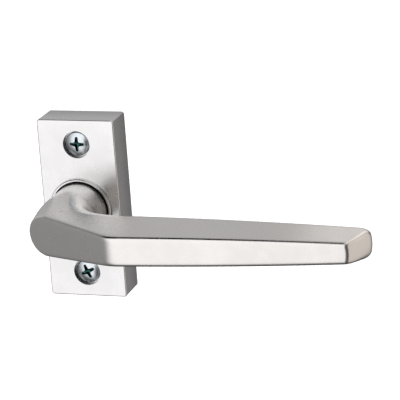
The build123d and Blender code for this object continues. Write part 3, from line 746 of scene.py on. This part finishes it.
class HANDLE_OT_build_lever(bpy.types.Operator):
    """Build the casting of the lever, with its soft neck, rounded edges and turned shank"""

    bl_idname = "handle.build_lever"
    bl_label = "Lever"

    def execute(self, context):
        look, sizes, shank = (
            getattr(context.scene, key) for key in ("handle_metal", "handle_lever", "handle_shank")
        )
        piece = build_mesh("lever_fine", [skin(lever_rings(sizes, shank))])
        surface = (look.lever_tone, look.satin, look.grain, DIMPLE_DEPTH)
        piece.data.materials.append(metal("lever anodised", *surface, wear=0.3, spread=0.025))
        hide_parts("lever")
        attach(piece, "lever")
        return {"FINISHED"}


class HANDLE_OT_dress_castings(bpy.types.Operator):
    """Finish the anodised rose and its collar ring"""

    bl_idname = "handle.dress_castings"
    bl_label = "Castings"

    def execute(self, context):
        look = context.scene.handle_metal
        surface = (look.rose_tone, look.satin, look.grain, DIMPLE_DEPTH)
        # Painted shade on the rose, darker towards the door
        foot = (toned(look.rose_tone, look.foot), 0.0, look.foot_shade_fade)
        dress(["rose"], metal("rose anodised", *surface, wear=0.4, spread=0.025, painted_shade=foot))
        dress(["collar"], metal("collar anodised", *surface, wear=0.4, spread=0.025))
        return {"FINISHED"}


class HANDLE_OT_dress_bearings(bpy.types.Operator):
    """Finish the plastic bushes, the spring guide and the rubber pieces"""

    bl_idname = "handle.dress_bearings"
    bl_label = "Bushes and rubber"

    def execute(self, context):
        look = context.scene.handle_soft
        dress(
            ["bearing_bush", "rear_bush", "spring_guide"],
            dull("black acetal", look.bush_tone, 0.42, 0.4 * MM, 0.008 * MM),
        )
        dress(["neck_seal", "stop_sleeves"], dull("rubber", look.rubber_tone, 0.7, 0.3 * MM, 0.015 * MM))
        return {"FINISHED"}


class HANDLE_OT_dress_steel(bpy.types.Operator):
    """Finish the plated plate, cam, pins and spindle, and the spring steel"""

    bl_idname = "handle.dress_steel"
    bl_label = "Steel pieces"

    def execute(self, context):
        look = context.scene.handle_metal
        plated = metal("plated steel", look.plate_tone, 0.34, 0.5 * MM, 0.006 * MM, wear=0.5, spread=0.08)
        dress(["back_plate", "drive_cam", "thrust_washer", "stop_pins", "spindle"], plated)
        oiled = metal("oiled spring steel", look.spring_tone, 0.3, 0.4 * MM, 0.004 * MM, wear=0.3)
        dress(["return_spring", "disc_spring", "circlip", "grub_screw"], oiled)
        zinc = metal("blue zinc", look.zinc_tone, 0.26, 0.5 * MM, 0.004 * MM, wear=0.5, spread=0.06)
        dress(["fixing_washers", "back_plate_screws"], zinc)
        return {"FINISHED"}


# Studio


# Parts of the surrounding light: direction, cosine where it starts, cosine where it is full,
# weight. The two front parts are multiplied with each other, the sky's parts and its base are
# added to them, and the warm parts are a light of their own
FRONT_PARTS = (
    ((0.0, -1.0, 0.0), 0.55, 0.88, 1.16),
    ((-0.981, 0.0, 0.196), -0.26, -0.06, 1.0),
)
SKY_PARTS = (
    ((-1.0, 0.0, 0.0), 0.45, 1.0, 0.22),
    ((-0.330, 0.620, 0.710), 0.38, 0.78, 0.33),
    ((-0.270, 0.700, 0.661), 0.88, 0.99, 0.09),
    ((0.301, 0.904, -0.301), 0.90, 1.00, 0.11),
    ((-0.420, -0.200, 0.885), 0.84, 0.95, -0.36),
    ((0.350, -0.350, 0.869), 0.86, 0.98, 0.36),
)
SKY_BASE = 0.10
WARM_PARTS = (
    ((0.935, 0.251, -0.251), 0.74, 0.94, 0.66),
    ((0.628, 0.329, 0.704), 0.74, 0.92, 0.60),
)
COOL_TONE = (1, 0.984, 0.992, 1)
WARM_TONE = (1, 0.91, 0.83, 1)
SEEN_TONE = (0.9, 0.9, 0.9, 1)
GLOW_TONE = (1, 0.93, 0.86)
GLOW_PLACE = (0.140, 0.062, 0.090)
GLOW_AIM = (0.135, -0.055, 0.004)
GLOW_WIDTH = 0.12
GLOW_HEIGHT = 0.09


def sky_gradient(world):
    """Light by direction: bright in front of the handle, fair to the left and high behind it,
    dim elsewhere, with two warm lights at the right. What the camera sees past the floor is
    plain pale."""
    world.use_nodes = True
    tree = world.node_tree
    tree.nodes.clear()
    link, add = tree.links.new, adder(tree)
    place = add("ShaderNodeTexCoord").outputs["Generated"]

    def lobe(direction, start, full, weight):
        dot = add("ShaderNodeVectorMath", operation="DOT_PRODUCT")
        dot.inputs[1].default_value = direction
        link(place, dot.inputs[0])
        cosine = dot.outputs["Value"]
        return ramp(tree, add, cosine, start, full, 0.0, weight, interpolation_type="SMOOTHSTEP")

    def joined(operation, first, second):
        node = add("ShaderNodeMath", operation=operation)
        link(first, node.inputs[0])
        link(second, node.inputs[1])
        return node

    front = joined("MULTIPLY_ADD", *(lobe(*part) for part in FRONT_PARTS))
    front.inputs[2].default_value = SKY_BASE
    total = front.outputs[0]
    for part in SKY_PARTS:
        total = joined("ADD", lobe(*part), total).outputs[0]
    tones = (COOL_TONE, WARM_TONE, SEEN_TONE)
    cool, warm, seen = (add("ShaderNodeBackground", Color=tone) for tone in tones)
    link(total, cool.inputs["Strength"])
    side = joined("ADD", *(lobe(*part) for part in WARM_PARTS))
    link(side.outputs[0], warm.inputs["Strength"])
    lit = add("ShaderNodeAddShader")
    link(cool.outputs[0], lit.inputs[0])
    link(warm.outputs[0], lit.inputs[1])
    sight = add("ShaderNodeMixShader")
    link(add("ShaderNodeLightPath").outputs["Is Camera Ray"], sight.inputs[0])
    link(lit.outputs[0], sight.inputs[1])
    link(seen.outputs[0], sight.inputs[2])
    link(sight.outputs[0], add("ShaderNodeOutputWorld").inputs["Surface"])


def softbox(name, place, aim, width, height, power):
    """A soft area light at a place, turned to what it lights."""
    light = bpy.data.lights.new(name, "AREA")
    light.shape = "RECTANGLE"
    light.size, light.size_y, light.energy = width, height, power
    lamp = bpy.data.objects.new(name, light)
    lamp.location = place
    lamp.rotation_euler = (Vector(aim) - Vector(place)).to_track_quat("-Z", "Y").to_euler()
    bpy.context.scene.collection.objects.link(lamp)
    return lamp


class HANDLE_OT_build_studio(bpy.types.Operator):
    """Build the pale floor, the soft lights, the world and the camera"""

    bl_idname = "handle.build_studio"
    bl_label = "Studio"

    def execute(self, context):
        scene, room = context.scene, context.scene.handle_studio
        half = room.floor_span / 2
        mesh = bpy.data.meshes.new("floor")
        corners = [(-half, -half), (half, -half), (half, half), (-half, half)]
        mesh.from_pydata([(x, y, -room.floor_drop) for x, y in corners], [], [(0, 1, 2, 3)])
        floor = bpy.data.objects.new("floor", mesh)
        scene.collection.objects.link(floor)
        paint, _tree, shader, _add = node_material("pale floor")
        shader.inputs["Base Color"].default_value = (*room.floor_tone, 1)
        shader.inputs["Roughness"].default_value = 0.9
        shader.inputs["Specular IOR Level"].default_value = 0.1
        mesh.materials.append(paint)
        floor.visible_glossy = False
        scene.world = bpy.data.worlds.new("studio")
        sky_gradient(scene.world)
        place, aim = (0, room.top_back, room.top_height), (0, room.top_back, 0)
        top = softbox("overhead", place, aim, room.top_width, room.top_width, room.top_power)
        top.visible_glossy = False
        glow = softbox("tip glow", GLOW_PLACE, GLOW_AIM, GLOW_WIDTH, GLOW_HEIGHT, room.glow_power)
        glow.data.color = GLOW_TONE
        glow.visible_camera = False
        scene.view_settings.view_transform = "Standard"

        turn, lift = room.azimuth, room.elevation
        back = Vector((math.sin(turn) * math.cos(lift), -math.cos(turn) * math.cos(lift), math.sin(lift)))
        right = Vector((math.cos(turn), math.sin(turn), 0))
        up = back.cross(right)
        right, up = (
            right * math.cos(room.roll) - up * math.sin(room.roll),
            right * math.sin(room.roll) + up * math.cos(room.roll),
        )
        camera = bpy.data.objects.new("camera", bpy.data.cameras.new("camera"))
        camera.data.sensor_width = 36
        camera.data.lens = room.focal
        camera.data.clip_start = 0.02
        place = Matrix((right, up, back)).transposed().to_4x4()
        place.translation = right * room.aim_right + up * room.aim_up + back * room.distance
        camera.matrix_world = place
        scene.collection.objects.link(camera)
        scene.camera = camera
        return {"FINISHED"}


STEPS = (
    HANDLE_OT_dress_castings,
    HANDLE_OT_dress_bearings,
    HANDLE_OT_dress_steel,
    HANDLE_OT_build_screws,
    HANDLE_OT_build_lever,
    HANDLE_OT_build_studio,
)


GROUPS = {
    "handle_metal": MetalFinish,
    "handle_soft": SoftFinish,
    "handle_lever": LeverSizes,
    "handle_shank": ShankSizes,
    "handle_screws": ScrewSizes,
    "handle_studio": StudioSizes,
}


class HANDLE_PT_sidebar(bpy.types.Panel):
    """Sizes, colours and steps of the handle"""

    bl_label = "Lever handle set"
    bl_idname = "HANDLE_PT_sidebar"
    bl_space_type = "VIEW_3D"
    bl_region_type = "UI"
    bl_category = "Handle"

    def draw(self, context):
        for step in STEPS:
            self.layout.operator(step.bl_idname)
        for key in GROUPS:
            group = getattr(context.scene, key)
            box = self.layout.box()
            for name in group.__annotations__:
                box.prop(group, name)


def register():
    for kind in (*GROUPS.values(), *STEPS, HANDLE_PT_sidebar):
        bpy.utils.register_class(kind)
    for name, kind in GROUPS.items():
        setattr(bpy.types.Scene, name, PointerProperty(type=kind))


def unregister():
    for name in GROUPS:
        delattr(bpy.types.Scene, name)
    for kind in reversed((*GROUPS.values(), *STEPS, HANDLE_PT_sidebar)):
        bpy.utils.unregister_class(kind)


def main():
    register()
    for step in STEPS:
        group, name = step.bl_idname.split(".")
        getattr(getattr(bpy.ops, group), name)()


if __name__ == "__main__":
    main()
